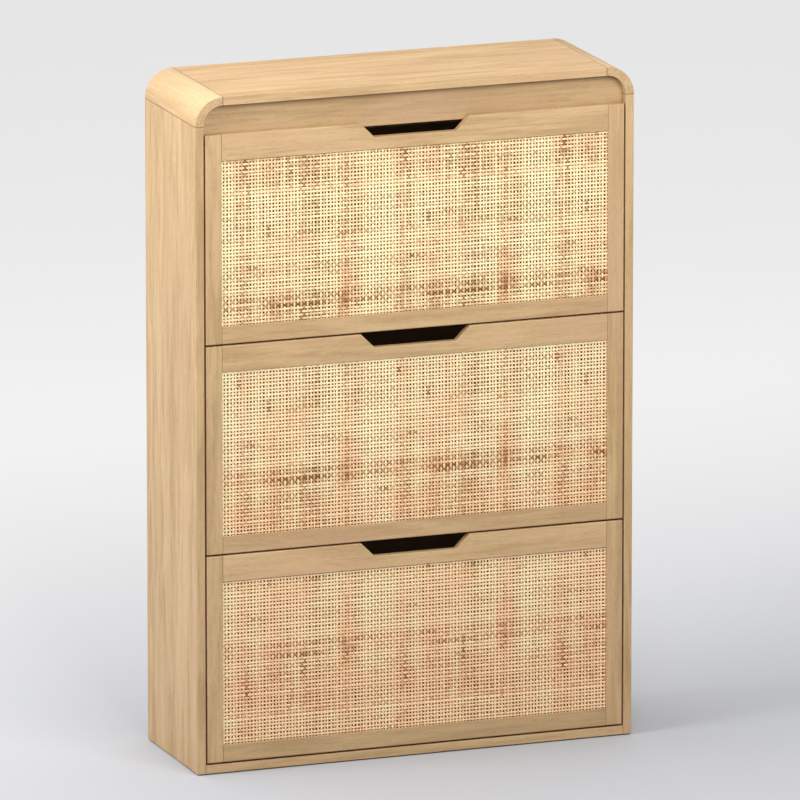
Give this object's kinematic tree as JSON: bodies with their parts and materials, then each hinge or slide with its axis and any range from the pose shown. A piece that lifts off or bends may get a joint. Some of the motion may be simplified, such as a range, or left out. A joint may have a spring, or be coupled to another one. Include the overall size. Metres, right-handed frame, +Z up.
{
  "type": "shoe cabinet",
  "caption": "Tall shallow oak shoe cabinet with rounded top corners and stacked tip-out doors of woven cane, each with a finger notch and a tilting two-tier shoe rack.",
  "frame": {"origin": "centre of the footprint on the floor, at the underside of the glides", "axes": "+Z up, -Y out of the doors, +X to the right as seen from the front"},
  "size_m": [0.8, 0.26, 1.19],
  "materials": {
    "oak_upright": "matt lacquered natural oak, grain upright",
    "oak_level": "matt lacquered natural oak, grain level",
    "oak_corner": "matt lacquered natural oak, grain front to back",
    "hardboard": "smooth brown hardboard",
    "beech": "raw fluted beech",
    "cane": "natural woven cane, uncoated",
    "shelf_board": "walnut-brown foil-faced board",
    "bracket_plastic": "black-brown moulded plastic, fine texture",
    "glide_plastic": "brown moulded plastic",
    "bumper_rubber": "translucent soft bumper",
    "zinc": "die-cast, satin",
    "screw_steel": "zinc plated"
  },
  "bodies": {
    "carcass": {"side_left": "oak_upright", "side_right": "oak_upright", "corner_block_left": "oak_corner", "corner_block_right": "oak_corner", "top_board": "oak_level", "header_panel": "oak_level", "bottom_board": "oak_level", "back_panel": "hardboard", "wall_rail": "oak_level", "carcass_dowels": "beech", "cam_locks": "zinc", "cam_bolts": "zinc", "back_panel_screws": "screw_steel", "glides": "glide_plastic", "door_bumpers": "bumper_rubber", "pivot_plates_left": "zinc", "pivot_plates_right": "zinc", "pivot_plate_screws": "screw_steel"},
    "door1": {"door1_stile_left": "oak_upright", "door1_stile_right": "oak_upright", "door1_top_rail": "oak_level", "door1_bottom_rail": "oak_level", "door1_dowels": "beech", "door1_cane": "cane", "door1_beads": "oak_level", "door1_bracket_left": "bracket_plastic", "door1_bracket_right": "bracket_plastic", "door1_shelf_front": "shelf_board", "door1_divider": "shelf_board", "door1_shelf_rear": "shelf_board", "door1_rack_back": "shelf_board", "door1_screws": "screw_steel"},
    "door2": {"door2_stile_left": "oak_upright", "door2_stile_right": "oak_upright", "door2_top_rail": "oak_level", "door2_bottom_rail": "oak_level", "door2_dowels": "beech", "door2_cane": "cane", "door2_beads": "oak_level", "door2_bracket_left": "bracket_plastic", "door2_bracket_right": "bracket_plastic", "door2_shelf_front": "shelf_board", "door2_divider": "shelf_board", "door2_shelf_rear": "shelf_board", "door2_rack_back": "shelf_board", "door2_screws": "screw_steel"},
    "door3": {"door3_stile_left": "oak_upright", "door3_stile_right": "oak_upright", "door3_top_rail": "oak_level", "door3_bottom_rail": "oak_level", "door3_dowels": "beech", "door3_cane": "cane", "door3_beads": "oak_level", "door3_bracket_left": "bracket_plastic", "door3_bracket_right": "bracket_plastic", "door3_shelf_front": "shelf_board", "door3_divider": "shelf_board", "door3_shelf_rear": "shelf_board", "door3_rack_back": "shelf_board", "door3_screws": "screw_steel"}
  },
  "joints": [
    {"name": "door1_tilt", "type": "hinge", "parent": "carcass", "child": "door1", "pos_m": [0, -0.108, 0.858], "axis": [1, 0, 0], "range_deg": [0, 50]},
    {"name": "door2_tilt", "type": "hinge", "parent": "carcass", "child": "door2", "pos_m": [0, -0.108, 0.489], "axis": [1, 0, 0], "range_deg": [0, 50]},
    {"name": "door3_tilt", "type": "hinge", "parent": "carcass", "child": "door3", "pos_m": [0, -0.108, 0.12], "axis": [1, 0, 0], "range_deg": [0, 50]}
  ]
}
